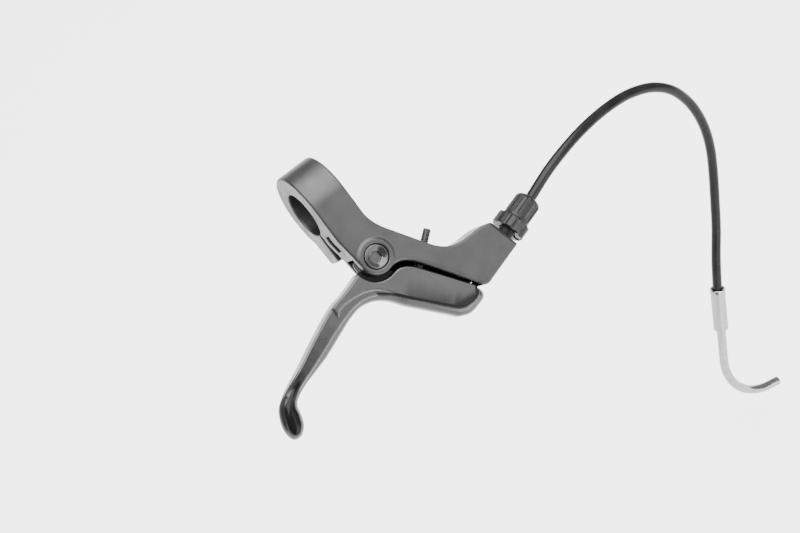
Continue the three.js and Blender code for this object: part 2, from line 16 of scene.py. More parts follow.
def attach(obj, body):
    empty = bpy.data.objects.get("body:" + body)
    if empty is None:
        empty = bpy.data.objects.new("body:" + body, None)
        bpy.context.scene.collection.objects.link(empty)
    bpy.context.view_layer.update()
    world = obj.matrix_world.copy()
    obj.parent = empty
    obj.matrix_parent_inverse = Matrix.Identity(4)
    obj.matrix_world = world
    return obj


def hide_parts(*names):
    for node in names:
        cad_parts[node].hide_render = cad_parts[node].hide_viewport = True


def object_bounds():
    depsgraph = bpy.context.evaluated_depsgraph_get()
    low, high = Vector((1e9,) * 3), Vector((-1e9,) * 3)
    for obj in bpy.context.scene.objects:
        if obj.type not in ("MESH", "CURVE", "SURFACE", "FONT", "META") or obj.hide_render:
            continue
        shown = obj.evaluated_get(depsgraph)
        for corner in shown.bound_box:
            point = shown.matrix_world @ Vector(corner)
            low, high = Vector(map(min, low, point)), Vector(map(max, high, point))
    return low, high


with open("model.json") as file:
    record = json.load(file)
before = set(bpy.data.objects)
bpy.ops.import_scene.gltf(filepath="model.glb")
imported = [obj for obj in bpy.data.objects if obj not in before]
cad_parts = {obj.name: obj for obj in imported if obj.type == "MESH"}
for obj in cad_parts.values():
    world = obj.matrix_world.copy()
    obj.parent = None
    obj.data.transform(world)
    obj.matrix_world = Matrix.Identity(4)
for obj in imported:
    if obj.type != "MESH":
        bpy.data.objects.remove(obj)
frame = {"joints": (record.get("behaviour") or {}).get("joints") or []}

cad_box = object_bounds()

MM = 0.001
joints = {joint["name"]: joint for joint in frame["joints"]}


# ---- frames ----
def frame_matrix(origin, x_axis, z_axis):
    """Takes millimetres of a local frame to metres of the row frame."""
    x, z = Vector(x_axis).normalized(), Vector(z_axis).normalized()
    y = z.cross(x)
    turn = Matrix((x, y, z)).transposed().to_4x4()
    return Matrix.Translation(origin) @ turn @ Matrix.Scale(MM, 4)


LEVER_NORMAL = -Vector(joints["lever_pivot"]["axis"])
LEVER = frame_matrix((0, 0, 0), (1, 0, 0), LEVER_NORMAL)
CABLE = frame_matrix(joints["barrel_turn"]["pos_m"], joints["barrel_turn"]["axis"], LEVER_NORMAL)


def in_lever(point):
    """A point of the row frame, in metres, as millimetres of the lever frame."""
    return LEVER.inverted() @ Vector(point)


def line_angle(direction):
    """Angle of a direction in the lever plane, in radians."""
    local = LEVER.to_3x3().inverted() @ Vector(direction)
    return math.atan2(local.y, local.x)


PIVOT = in_lever(joints["lever_pivot"]["pos_m"]).to_2d()
HEAD_END = in_lever(joints["barrel_turn"]["pos_m"])
CABLE_ANGLE = line_angle(joints["barrel_turn"]["axis"])
SCREW_ANGLE = line_angle(joints["reach_screw_travel"]["axis"])
CABLE_Z = HEAD_END.z

# ---- driving dimensions, in millimetres ----
GAP = 0.3  # between pieces that touch

# Clamp band and arm. Pairs of numbers are lower and upper levels unless a comment says otherwise.
BAR_R = 11.1  # 22.2 mm handlebar
BAND_R = 20
BAND_HALF = 8.7  # half the band's width along the bar
EDGE = 0.9  # rounding of the moulded edges
SLIT = (0.8, 3)
ARM = (3, 20)
ARM_ROOT = -14
CAVITY = (6.2, 16)  # room for the blade's hub
SWING = (26, -48, -209)  # radius and the two angles that the blade's root sweeps
BOSS_R = 8.3
BOSS_HEIGHT = 0.6
HEAD_CHAMFER = 1.3
LEDGE_THICK = 1.7
# Painted shade on the walls of the gap between arm and blade: its centre and radius.
GAP_SHADOW = ((13, -64), 22.5)  # centre and radius of the dark walls of the gap between arm and blade

# Clamp bolt with its square nut
PINCH_Y = -17.6
PINCH_RECESS = (4.95, -8)  # radius and level of the recess for the bolt's head
NUT = (7.9, 11.9)
NUT_HALF = 4

# Lever pivot
SHANK_R = 3
THREAD_R = 2.5
BOLT_HEAD_R = 5.45
BOLT_TOP = 20.3
COUNTERBORE = (5.8, 17.9)  # radius and level
BUSH_R = 4
PIVOT_WASHER_R = 7

# Blade
HUB = (7.4, 14.8)
HUB_R = 8.2
WEB = (14, -70, -169)  # radius and angles of the thin root between the hub and the full height
BLADE = (5.2, 17.8)
BLADE_INNER_R = 10.8

# Cable line. Stations along it are counted from the head's end face, outward.
ANCHOR = -35.2  # the cable head, a pin across the blade
PIN_R = 3.5
PIN_HALF = 2.8
WIRE_SWING = (18, 10, 51)  # radius and angles that the wire sweeps round the pin
CHANNEL = (3, 3.5)  # half the width and half the height of the room for the wire
CABLE_SLOT = 2.2
STEM_R = 4
STEM_START = -16
RING = (3.6, 9.6)
RING_R = 8.15
KNOB = (9.9, 22.2)
KNOB_R = 6.35
KNOB_ROUND = 2.8
POCKET = (13.2, 3.6)  # start and radius of the hole for the ferrule
HOUSING_R = 2.5
HOUSING_START = 15

# Reach screw
SCREW_CONTACT = Vector((15.68, -49.3))
SCREW_LENGTH = 18.9
SCREW_R = 2

# Threads: radius, pitch and depth
M4 = (SCREW_R, 0.7, 0.5)
M5 = (THREAD_R, 0.8, 0.35)
M8 = (STEM_R, 1, 0.45)


# ---- outlines ----
def curve_through(points, steps=8):
    """Points of a centripetal Catmull-Rom curve through the given ones, ends included."""
    p = [np.array(point, float) for point in points]
    p = [2 * p[0] - p[1], *p, 2 * p[-1] - p[-2]]
    made = [p[1]]
    for a, b, c, d in zip(p, p[1:], p[2:], p[3:]):
        t1 = np.linalg.norm(b - a) ** 0.5
        t2 = t1 + np.linalg.norm(c - b) ** 0.5
        t3 = t2 + np.linalg.norm(d - c) ** 0.5
        for t in np.linspace(t1, t2, steps + 1)[1:]:
            ab = a + (b - a) * t / t1
            bc = b + (c - b) * (t - t1) / (t2 - t1)
            cd = c + (d - c) * (t - t2) / (t3 - t2)
            abc = ab + (bc - ab) * t / t2
            bcd = bc + (cd - bc) * (t - t1) / (t3 - t1)
            made.append(abc + (bcd - abc) * (t - t1) / (t2 - t1))
    return [tuple(point) for point in made]


def bezier(*controls, steps=10):
    """Points of a Bezier curve of any degree, ends included."""
    made = []
    for t in np.linspace(0, 1, steps + 1):
        level = [np.array(c, float) for c in controls]
        while len(level) > 1:
            level = [a + (b - a) * t for a, b in zip(level, level[1:])]
        made.append(tuple(level[0]))
    return made


def arc(centre, radius, start, end, steps=24):
    """Points on an arc, ends included. Angles are in degrees."""
    angles = np.radians(np.linspace(start, end, steps + 1))
    return [(centre[0] + radius * math.cos(a), centre[1] + radius * math.sin(a)) for a in angles]


def cable_point(s, t):
    """A point of the lever plane, s along the cable line from the head's end and t across it."""
    c, k = math.cos(CABLE_ANGLE), math.sin(CABLE_ANGLE)
    return HEAD_END.x + s * c - t * k, HEAD_END.y + s * k + t * c


def arm_outline():
    boss = arc(PIVOT, BOSS_R, -75, -180)
    return [
        (BAND_HALF, 0), (BAND_HALF, ARM_ROOT),
        *bezier((BAND_HALF, ARM_ROOT), (9.2, -19.6), (13.2, -25.4))[1:],
        *bezier((24, -41.2), (28.6, -48.2), (32.6, -50.1), (40, -50.4)),
        *bezier((47.3, -50.5), (51.4, -50.7), cable_point(0, 9.6)),
        cable_point(0, -5.8),
        *bezier((37.2, -72.7), (35, -73.3), (33.6, -71.5)),
        *bezier((17.5, -48.3), (12.9, -41.6), (8.4, -39.3), boss[0]),
        *boss[1:],
        (-7.3, -27), (-BAND_HALF, -17), (-BAND_HALF, 0),
    ]


def band_outline():
    """The band and its lug in the plane of Y and Z."""
    front, bottom, corner = -26, -12.5, 2.5
    return [
        (ARM_ROOT, BAND_R),
        *arc((0, 0), BAND_R, 90, -135, 60),
        *bezier((front + corner, bottom), (front, bottom), (front, bottom + corner)),
        *bezier((front, SLIT[0] - corner), (front, SLIT[0]), (front + corner, SLIT[0])),
        (ARM_ROOT, SLIT[0]),
    ]


def blade_outline():
    hub = arc(PIVOT, BLADE_INNER_R, -172.6, -78)
    paddle_end = [(30.9, -69.4), (33.4, -73.6), (32.7, -76.8), (28.5, -78.5), (22.5, -79.1), (17.6, -77.1)]
    return [
        *bezier(hub[-1], (10, -41.7), (15, -48.4))[1:],
        *curve_through(paddle_end),
        *curve_through([(0.6, -58.3), (-4.5, -51.9), (-10, -48.1), (-16.8, -46.7), (-23.6, -48)]),
        *curve_through([(-42, -54.9), (-59.5, -60), (-64.3, -63.4), (-65.6, -68), (-67.6, -72.6),
                        (-71.5, -75.4), (-75, -74.6), (-76.3, -70.5), (-75.2, -65), (-71.8, -59.3),
                        (-65.5, -55.5), (-53.3, -50.1), (-40, -43.8), (-27, -38.5), (-19, -36.8),
                        (-13, -35.2), hub[0]]),
        *hub[1:],
    ]


# ---- implicit solids ----
class Grid:
    """Sample points of a box, as three arrays that broadcast against each other."""

    def __init__(self, low, high, step):
        self.low = np.array(low, float)
        self.step = step
        counts = [math.ceil((b - a) / step) + 1 for a, b in zip(low, high)]
        axes = [(a + step * np.arange(n)).astype(np.float32) for a, n in zip(low, counts)]
        self.x = axes[0][:, None, None]
        self.y = axes[1][None, :, None]
        self.z = axes[2][None, None, :]

    def along(self, start, angle):
        """Coordinates along and across a line of the XY plane."""
        c, k = math.cos(angle), math.sin(angle)
        dx, dy = self.x - start[0], self.y - start[1]
        return dx * c + dy * k, dy * c - dx * k


def meet(a, b, r=0):
    """What two solids share, with the edge between them rounded to radius r."""
    if np.all(r == 0):
        return np.maximum(a, b)
    corner = np.hypot(np.maximum(a + r, 0), np.maximum(b + r, 0))
    return np.minimum(-r, np.maximum(a, b)) + corner


def join(a, b, r=0):
    """Two solids as one, with the inner corner between them filled to radius r."""
    return -meet(-a, -b, r)


def cut(a, b, r=0):
    """The first solid without the second."""
    return meet(a, -b, r)


def slab(value, low, high):
    return np.maximum(low - value, value - high)


def outline(points, a, b):
    """Signed distance in a plane to a closed outline, negative inside."""
    shape = np.broadcast_shapes(a.shape, b.shape)
    nearest = np.full(shape, np.inf, np.float32)
    inside = np.zeros(shape, bool)
    for (pa, pb), (qa, qb) in zip(points, [*points[1:], points[0]]):
        ea, eb = qa - pa, qb - pb
        length = ea * ea + eb * eb
        if length < 1e-12:
            continue
        da, db = a - pa, b - pb
        t = np.clip((da * ea + db * eb) / length, 0, 1)
        nearest = np.minimum(nearest, (da - ea * t) ** 2 + (db - eb * t) ** 2)
        if pb != qb:
            inside ^= ((pb > b) != (qb > b)) & (da < ea * (db / eb))
    return np.where(inside, -1, 1).astype(np.float32) * np.sqrt(nearest)


def hexagon(a, b, inscribed):
    """A hexagonal bar given by the radius of the circle inside it."""
    sides = [abs(a * math.cos(t) + b * math.sin(t)) for t in np.radians((0, 60, 120))]
    return np.maximum(np.maximum(sides[0], sides[1]), sides[2]) - inscribed


def smoothstep(value, start, end):
    t = np.clip((value - start) / (end - start), 0, 1)
    return t * t * (3 - 2 * t)


def thread(radial, angle, along, radius, pitch, depth):
    """A bar with a V thread."""
    turn = (along / pitch - angle / (2 * math.pi)) % 1
    return (radial - radius + depth * np.abs(2 * turn - 1)) * 0.8


def softened(field):
    """Rounds every edge by about one grid step."""
    for axis in range(3):
        padded = np.pad(field, [(1, 1) if i == axis else (0, 0) for i in range(3)], mode="edge")
        first, middle, last = [
            padded[tuple(slice(k, k + field.shape[i]) if i == axis else slice(None) for i in range(3))]
            for k in range(3)
        ]
        field = (first + 2 * middle + last) / 4
    return field


CORNERS = np.array(list(product((0, 1), repeat=3)))
EDGES = [(i, j) for i in range(8) for j in range(i + 1, 8) if abs(CORNERS[i] - CORNERS[j]).sum() == 1]


def surface(field, grid):
    """Points and quads of the zero level: a point in each cell that it crosses, a quad round each edge."""
    inside = field < 0
    nx, ny, nz = (n - 1 for n in field.shape)
    count = sum(inside[i:nx + i, j:ny + j, k:nz + k].astype(np.int8) for i, j, k in CORNERS)
    active = (count > 0) & (count < 8)
    cells = np.argwhere(active)
    number = np.full(active.shape, -1, np.int32)
    number[active] = np.arange(len(cells))
    values = np.stack([field[tuple((cells + corner).T)] for corner in CORNERS], axis=1).astype(float)

    spots = np.zeros((len(cells), 3))
    hits = np.zeros((len(cells), 1))
    for i, j in EDGES:
        crossed = (values[:, i] < 0) != (values[:, j] < 0)
        t = np.where(crossed, values[:, i] / np.where(crossed, values[:, i] - values[:, j], 1), 0)[:, None]
        spots += crossed[:, None] * (CORNERS[i] + (CORNERS[j] - CORNERS[i]) * t)
        hits += crossed[:, None]
    spots /= hits

    for _ in range(3):
        weights = np.where(CORNERS[None], spots[:, None], 1 - spots[:, None])
        value = (values * weights.prod(axis=2)).sum(axis=1)
        slopes = []
        for axis in range(3):
            others = weights[:, :, [a for a in range(3) if a != axis]].prod(axis=2)
            slopes.append((values * others * np.where(CORNERS[:, axis], 1, -1)).sum(axis=1))
        slope = np.stack(slopes, axis=1)
        size = np.maximum((slope ** 2).sum(axis=1), 1e-12)
        spots = np.clip(spots - slope * (value / size)[:, None], 0, 1)

    quads = []
    for axis in range(3):
        a, b = (axis + 1) % 3, (axis + 2) % 3
        low = [slice(None)] * 3
        high = [slice(None)] * 3
        low[axis], high[axis] = slice(0, -1), slice(1, None)
        start = inside[tuple(low)]
        edges = np.argwhere(start != inside[tuple(high)])
        edges = edges[(edges[:, a] > 0) & (edges[:, b] > 0)]
        edges = edges[(edges[:, a] < field.shape[a] - 1) & (edges[:, b] < field.shape[b] - 1)]
        ring = []
        for da, db in ((1, 1), (0, 1), (0, 0), (1, 0)):
            cell = edges.copy()
            cell[:, a] -= da
            cell[:, b] -= db
            ring.append(number[tuple(cell.T)])
        ring = np.stack(ring, axis=1)
        outward = start[tuple(edges.T)]
        quads.append(np.where(outward[:, None], ring, ring[:, ::-1]))
    return grid.low + (cells + spots) * grid.step, np.concatenate(quads)


# ---- Blender objects ----
def add_object(name, data):
    obj = bpy.data.objects.new(name, data)
    bpy.context.scene.collection.objects.link(obj)
    return obj


def new_object(name, points, faces, matrix):
    """A smooth mesh from points of a local frame."""
    mesh = bpy.data.meshes.new(name)
    world = np.array(matrix)
    points = np.asarray(points, float) @ world[:3, :3].T + world[:3, 3]
    mesh.from_pydata(points.tolist(), [], [list(map(int, face)) for face in faces])
    mesh.shade_smooth()
    return add_object(name, mesh)


def apply_modifiers(obj):
    graph = bpy.context.evaluated_depsgraph_get()
    made = bpy.data.meshes.new_from_object(obj.evaluated_get(graph))
    obj.modifiers.clear()
    obj.data = made


def solid(name, field, grid, matrix, keep=0.35):
    """An implicit solid as an object, with the triangles that flat areas don't need taken out."""
    obj = new_object(name, *surface(softened(field), grid), matrix)
    thin = obj.modifiers.new("thin", "DECIMATE")
    thin.ratio = keep
    normals = obj.modifiers.new("normals", "WEIGHTED_NORMAL")
    normals.keep_sharp = False
    apply_modifiers(obj)
    return obj


def lathe(name, profile, matrix, segments=72, sharp=30):
    """A closed profile of (station, radius) pairs turned about the local X axis."""
    turns = np.linspace(0, 2 * math.pi, segments, endpoint=False)
    points = [(s, r * math.cos(t), r * math.sin(t)) for s, r in profile for t in turns]
    faces = []
    for i in range(len(profile)):
        j = (i + 1) % len(profile)
        for k in range(segments):
            m = (k + 1) % segments
            faces.append((i * segments + k, j * segments + k, j * segments + m, i * segments + m))
    obj = new_object(name, points, faces, matrix)
    merge = obj.modifiers.new("merge", "WELD")
    merge.merge_threshold = 1e-7
    apply_modifiers(obj)
    obj.data.set_sharp_from_angle(angle=math.radians(sharp))
    return obj


def upright(x, y):
    """A frame for lathe() whose X axis is the lever plane's normal."""
    return LEVER @ Matrix.Translation((x, y, 0)) @ Matrix.Rotation(-math.pi / 2, 4, "Y")


def place(obj, node, body, slot):
    """Gives a piece its body, the node that it replaces, and its material."""
    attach(obj, body)
    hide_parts(node)
    obj.data.materials.clear()
    obj.data.materials.append(LOOKS[slot])
    return obj


# ---- materials ----
class Look:
    """A principled material whose colour, roughness, shine and bump come from procedural detail."""

    def __init__(self, name, colour, roughness, metallic=0.0, coat=0.0, gloss=0.5):
        self.material = bpy.data.materials.new(name)
        self.material.use_nodes = True
        self.tree = self.material.node_tree
        self.shader = self.tree.nodes["Principled BSDF"]
        self.shader.inputs["Metallic"].default_value = metallic
        self.shader.inputs["Coat Weight"].default_value = coat
        self.shader.inputs["Coat Roughness"].default_value = 0.12
        self.material.diffuse_color = (*colour, 1)
        self.colour = self.node("ShaderNodeRGB")
        self.colour.outputs[0].default_value = (*colour, 1)
        self.colour = self.colour.outputs[0]
        self.roughness = self.value(roughness)
        self.gloss = self.value(gloss)
        self.normal = None

    def node(self, kind, **settings):
        made = self.tree.nodes.new(kind)
        for key, value in settings.items():
            setattr(made, key, value)
        return made

    def link(self, source, target):
        self.tree.links.new(source, target)

    def value(self, number):
        """A node's output that holds a number, so that later nodes can change it."""
        made = self.node("ShaderNodeValue")
        made.outputs[0].default_value = number
        return made.outputs[0]

    def coordinates(self, matrix=None):
        """Object coordinates in metres, or in millimetres of a local frame."""
        source = self.node("ShaderNodeTexCoord").outputs["Object"]
        if matrix is None:
            return source
        inverse = matrix.inverted()
        mapping = self.node("ShaderNodeMapping", vector_type="POINT")
        location, turn, scale = inverse.decompose()
        mapping.inputs["Location"].default_value = location
        mapping.inputs["Rotation"].default_value = turn.to_euler()
        mapping.inputs["Scale"].default_value = scale
        self.link(source, mapping.inputs["Vector"])
        return mapping.outputs["Vector"]

    def noise(self, size, detail=3.0):
        """Noise between 0 and 1 whose features are about size millimetres across."""
        scaled = self.node("ShaderNodeVectorMath", operation="MULTIPLY")
        scaled.inputs[1].default_value = [1 / MM / size] * 3
        self.link(self.coordinates(), scaled.inputs[0])
        made = self.node("ShaderNodeTexNoise")
        made.inputs["Scale"].default_value = 1
        made.inputs["Detail"].default_value = detail
        self.link(scaled.outputs[0], made.inputs["Vector"])
        return made.outputs["Fac"]

    def ranged(self, source, low, high, start=0.3, end=0.7):
        """Takes a source from start to end smoothly to low to high."""
        made = self.node("ShaderNodeMapRange", interpolation_type="SMOOTHSTEP")
        for key, number in (("From Min", start), ("From Max", end), ("To Min", low), ("To Max", high)):
            made.inputs[key].default_value = number
        self.link(source, made.inputs["Value"])
        return made.outputs["Result"]

    def times(self, a, b):
        made = self.node("ShaderNodeMath", operation="MULTIPLY")
        self.link(a, made.inputs[0])
        self.link(b, made.inputs[1])
        return made.outputs[0]

    def tint(self, colour, amount):
        """Mixes a colour in by an amount between 0 and 1."""
        mix = self.node("ShaderNodeMix", data_type="RGBA")
        self.link(amount, mix.inputs["Factor"])
        self.link(self.colour, mix.inputs["A"])
        mix.inputs["B"].default_value = (*colour, 1)
        self.colour = mix.outputs["Result"]
        return self

    def patches(self, colour, size, most, detail=3.0, start=0.3, end=0.7):
        """Mixes a colour in by up to the most given, in patches of noise."""
        return self.tint(colour, self.ranged(self.noise(size, detail), 0, most, start, end))

    def uneven(self, size, low, high, detail=3.0):
        """Changes the roughness by between low and high, in patches of noise."""
        total = self.node("ShaderNodeMath", operation="ADD", use_clamp=True)
        self.link(self.roughness, total.inputs[0])
        self.link(self.ranged(self.noise(size, detail), low, high), total.inputs[1])
        self.roughness = total.outputs[0]
        return self

    def grain(self, size, depth, detail=2):
        """Raises the surface by noise whose size and depth are in millimetres."""
        made = self.node("ShaderNodeBump")
        made.inputs["Distance"].default_value = depth * MM
        made.inputs["Strength"].default_value = 1
        self.link(self.noise(size, detail), made.inputs["Height"])
        if self.normal:
            self.link(self.normal, made.inputs["Normal"])
        self.normal = made.outputs["Normal"]
        return self

    def edge_wear(self, colour, strength, start=0.52, end=0.62):
        """Rubs convex edges towards a colour, broken up by noise."""
        pointiness = self.node("ShaderNodeNewGeometry").outputs["Pointiness"]
        convex = self.ranged(pointiness, 0, strength, start, end)
        return self.tint(colour, self.times(convex, self.ranged(self.noise(2.5), 0.2, 1)))

    def dulled(self, amount):
        """Paints shade: takes colour and shine away by an amount between 0 and 1."""
        left = self.node("ShaderNodeMath", operation="MULTIPLY_ADD")
        self.link(amount, left.inputs[0])
        left.inputs[1].default_value, left.inputs[2].default_value = -1, 1
        self.gloss = self.times(self.gloss, left.outputs[0])
        return self.tint((0.003, 0.003, 0.003), amount)

    def painted_crease_shade(self, strength, start=0.42, end=0.485):
        """Painted shade in the creases: takes colour and shine away where the surface is concave."""
        pointiness = self.node("ShaderNodeNewGeometry").outputs["Pointiness"]
        return self.dulled(self.ranged(pointiness, strength, 0, start, end))

    def recess(self, matrix, centre, reach, low, high):
        """Painted shade: dulls what lies near an upright line between two levels, in millimetres of a
        local frame.
        """
        flat = self.node("ShaderNodeVectorMath", operation="MULTIPLY")
        flat.inputs[1].default_value = (1, 1, 0)
        self.link(self.coordinates(matrix), flat.inputs[0])
        away = self.node("ShaderNodeVectorMath", operation="DISTANCE")
        away.inputs[1].default_value = (*centre, 0)
        self.link(flat.outputs[0], away.inputs[0])
        height = self.node("ShaderNodeSeparateXYZ")
        self.link(self.coordinates(matrix), height.inputs[0])
        amount = self.ranged(away.outputs["Value"], 1, 0, reach, reach + 1)
        for start, end in ((low, low + 0.3), (high + 0.3, high)):
            amount = self.times(amount, self.ranged(height.outputs["Z"], 0, 1, start, end))
        return self.dulled(amount)

    def painted_marked_shade(self):
        """Painted shade: dulls the places that a mesh marks in its attribute."""
        mark = self.node("ShaderNodeAttribute", attribute_name="painted_shade")
        return self.dulled(self.ranged(mark.outputs["Fac"], 0, 0.95, 0.1, 0.9))

    def done(self):
        self.link(self.gloss, self.shader.inputs["Specular IOR Level"])
        self.link(self.colour, self.shader.inputs["Base Color"])
        self.link(self.roughness, self.shader.inputs["Roughness"])
        if self.normal:
            self.link(self.normal, self.shader.inputs["Normal"])
        return self.material


def body_resin():
    look = Look("body_resin", (0.006, 0.006, 0.0065), 0.38, gloss=0.36)
    look.patches((0.011, 0.011, 0.0115), 14, 0.6)
    look.patches((0.12, 0.115, 0.11), 0.9, 0.1, 5, 0.62, 0.75)
    look.edge_wear((0.1, 0.1, 0.1), 0.3)
    look.uneven(7, -0.05, 0.07)
    # Painted shade in the creases and on the walls of the gap between arm and blade.
    look.painted_crease_shade(0.8).recess(LEVER, *GAP_SHADOW, ARM[0] + 0.5, ARM[1] - 1.8)
    look.grain(0.22, 0.012).grain(1.6, 0.012)
    return look.done()


def blade_paint():
    look = Look("blade_paint", (0.006, 0.006, 0.0065), 0.27, coat=0.1, gloss=0.42)
    look.patches((0.011, 0.011, 0.012), 16, 0.7)
    look.patches((0.1, 0.095, 0.09), 0.7, 0.08, 5, 0.64, 0.76)
    look.edge_wear((0.12, 0.12, 0.12), 0.08)
    look.uneven(9, -0.04, 0.07)
    # Painted shade in the creases, round the hub under the plateau, along the front crease and in the
    # tip's hollow.
    look.painted_crease_shade(0.9).recess(LEVER, tuple(PIVOT), BLADE_INNER_R + 0.5, HUB[0] + 1, HUB[1] + 0.2).painted_marked_shade()
    look.grain(0.55, 0.006).grain(3.5, 0.015)
    return look.done()


def black_steel():
    look = Look("black_steel", (0.01, 0.01, 0.0105), 0.22, metallic=0.15, coat=0.1, gloss=0.4)
    look.patches((0.02, 0.0195, 0.019), 1.8, 0.7, 4)
    look.edge_wear((0.2, 0.195, 0.19), 0.35)
    look.uneven(0.8, -0.06, 0.1)
    # Painted shade in the creases.
    look.painted_crease_shade(0.8)
    look.grain(0.3, 0.006, 3)
    return look.done()


def barrel_plastic():
    look = Look("barrel_plastic", (0.006, 0.006, 0.0065), 0.26, gloss=0.12)
    look.patches((0.012, 0.012, 0.012), 3, 0.7)
    look.edge_wear((0.12, 0.118, 0.115), 0.25)
    look.uneven(1.5, -0.05, 0.1)
    # Painted shade in the creases.
    look.painted_crease_shade(0.9)
    look.grain(0.3, 0.008)
    return look.done()


def zinc_steel():
    look = Look("zinc_steel", (0.62, 0.62, 0.61), 0.3, metallic=1)
    look.patches((0.46, 0.46, 0.47), 1.6, 0.8, 5)
    look.uneven(0.9, -0.06, 0.14)
    look.grain(0.25, 0.008, 3)
    return look.done()


def bush_plastic():
    look = Look("bush_plastic", (0.72, 0.7, 0.62), 0.42)
    look.patches((0.6, 0.57, 0.48), 2, 0.6)
    look.uneven(1, -0.05, 0.08)
    look.grain(0.3, 0.008)
    return look.done()


def wire_steel():
    look = Look("wire_steel", (0.6, 0.6, 0.59), 0.26, metallic=1)
    look.patches((0.38, 0.37, 0.35), 0.6, 0.8, 4)
    look.uneven(0.4, -0.05, 0.15)
    look.grain(0.15, 0.004)
    return look.done()


def housing_jacket():
    look = Look("housing_jacket", (0.004, 0.004, 0.0045), 0.2, gloss=0.1)
    look.patches((0.007, 0.007, 0.007), 9, 0.8, 4)
    look.patches((0.1, 0.095, 0.09), 0.8, 0.1, 5, 0.62, 0.76)
    look.uneven(5, -0.05, 0.08)
    look.grain(0.5, 0.01).grain(2.5, 0.02)
    return look.done()


def noodle_steel():
    look = Look("noodle_steel", (0.27, 0.265, 0.26), 0.08, metallic=1)
    look.patches((0.2, 0.195, 0.19), 3, 0.6, 5)
    look.uneven(1.2, -0.03, 0.12, 4)
    look.grain(0.9, 0.008, 3).grain(5, 0.03)
    return look.done()


LOOKS = {
    make.__name__: make()
    for make in (body_resin, blade_paint, black_steel, barrel_plastic, zinc_steel, bush_plastic,
                 wire_steel, housing_jacket, noodle_steel)
}


# ---- camera ----
def camera():
    """The photo's viewpoint, from a camera fitted to the clamp, arm, blade and barrel."""
    right = Vector((0.75729, -0.62462, -0.19067))
    back = Vector((-0.27535, -0.57011, 0.77405))
    data = bpy.data.cameras.new("camera")
    data.lens = 90.7
    data.sensor_width = 36
    data.clip_start, data.clip_end = 0.05, 60
    obj = add_object("camera", data)
    turn = Matrix((right, back.cross(right), back)).transposed().to_4x4()
    obj.matrix_world = Matrix.Translation((-0.2368, -0.5505, 0.6730)) @ turn
    bpy.context.scene.camera = obj


# ---- cable housing ----
# Route of the housing from the knob to the noodle's mouth, in the row frame.
ROUTE = [
    (0.093, -0.045, -0.0255), (0.108, -0.0415, -0.0245), (0.123, -0.0385, -0.025),
    (0.139, -0.0363, -0.027), (0.1535, -0.0353, -0.0308), (0.1665, -0.036, -0.037),
    (0.176, -0.0377, -0.0455), (0.1823, -0.04, -0.0558), (0.1862, -0.0425, -0.067),
    (0.1882, -0.045, -0.0795), (0.1882, -0.0473, -0.0925), (0.1862, -0.0498, -0.1065),
    (0.1825, -0.0532, -0.1215), (0.1778, -0.0573, -0.1375), (0.1717, -0.0618, -0.1535),
    (0.1664, -0.0665, -0.169),
]
IN_SOCKET = 8.5 * MM
NOODLE_LEAN = math.radians(16)
FORK_ANGLE = math.radians(18)
ALONG_FORK = Vector((0, -math.sin(FORK_ANGLE), -math.cos(FORK_ANGLE)))
INBOARD = Vector((1, 0, 0))
NOODLE_DOWN = ALONG_FORK * math.cos(NOODLE_LEAN) - INBOARD * math.sin(NOODLE_LEAN)
NOODLE_ACROSS = INBOARD * math.cos(NOODLE_LEAN) + ALONG_FORK * math.sin(NOODLE_LEAN)
NOODLE_TOP = Vector(ROUTE[-1])


def housing_points():
    ends = [CABLE @ Vector((s, 0, 0)) for s in (HOUSING_START, KNOB[1])]
    return curve_through([*ends, *ROUTE, NOODLE_TOP + NOODLE_DOWN * IN_SOCKET], 10)


def cable_housing(with_pieces):
    points = housing_points()
    curve = bpy.data.curves.new("housing", "CURVE")
    curve.dimensions = "3D"
    curve.bevel_depth = 1
    curve.bevel_resolution = 10
    curve.use_fill_caps = True
    spline = curve.splines.new("POLY")
    spline.points.add(len(points) - 1)
    for slot, point in zip(spline.points, points):
        slot.co = (*point, 1)
        slot.radius = HOUSING_R * MM
    spline.use_smooth = True
    obj = add_object("housing", curve)
    place(obj, "cable_housing", "cable_run", "housing_jacket")


# ---- swept pieces ----
SOCKET = {"radius": 3.9, "length": 25, "pocket": 9}
NOODLE = {"radius": 2.35, "bore": 1.75, "bend": 29, "straight": 18, "tip": 6}
LINER = {"radius": 1.45, "bore": 0.9, "stickout": 1.5}
NOODLE_END = SOCKET["length"] + NOODLE["straight"] + NOODLE["bend"] * math.pi / 2 + NOODLE["tip"]


def on_noodle(distance):
    """Place, direction and side of the noodle's centreline, distance millimetres below its top."""
    bend_start = SOCKET["length"] + NOODLE["straight"]
    bend_length = NOODLE["bend"] * math.pi / 2
    side = NOODLE_DOWN.cross(NOODLE_ACROSS)
    if distance <= bend_start:
        return NOODLE_TOP + NOODLE_DOWN * distance * MM, NOODLE_DOWN, side
    angle = min(distance - bend_start, bend_length) / NOODLE["bend"]
    centre = NOODLE_TOP + (NOODLE_DOWN * bend_start + NOODLE_ACROSS * NOODLE["bend"]) * MM
    reach = -NOODLE_ACROSS * math.cos(angle) + NOODLE_DOWN * math.sin(angle)
    direction = NOODLE_ACROSS * math.sin(angle) + NOODLE_DOWN * math.cos(angle)
    past = max(0, distance - bend_start - bend_length)
    return centre + reach * NOODLE["bend"] * MM + direction * past * MM, direction, side


def on_cable_line(distance):
    centre, along = CABLE @ Vector((distance, 0, 0)), CABLE.to_3x3() @ Vector((1, 0, 0))
    return centre, along.normalized(), LEVER_NORMAL


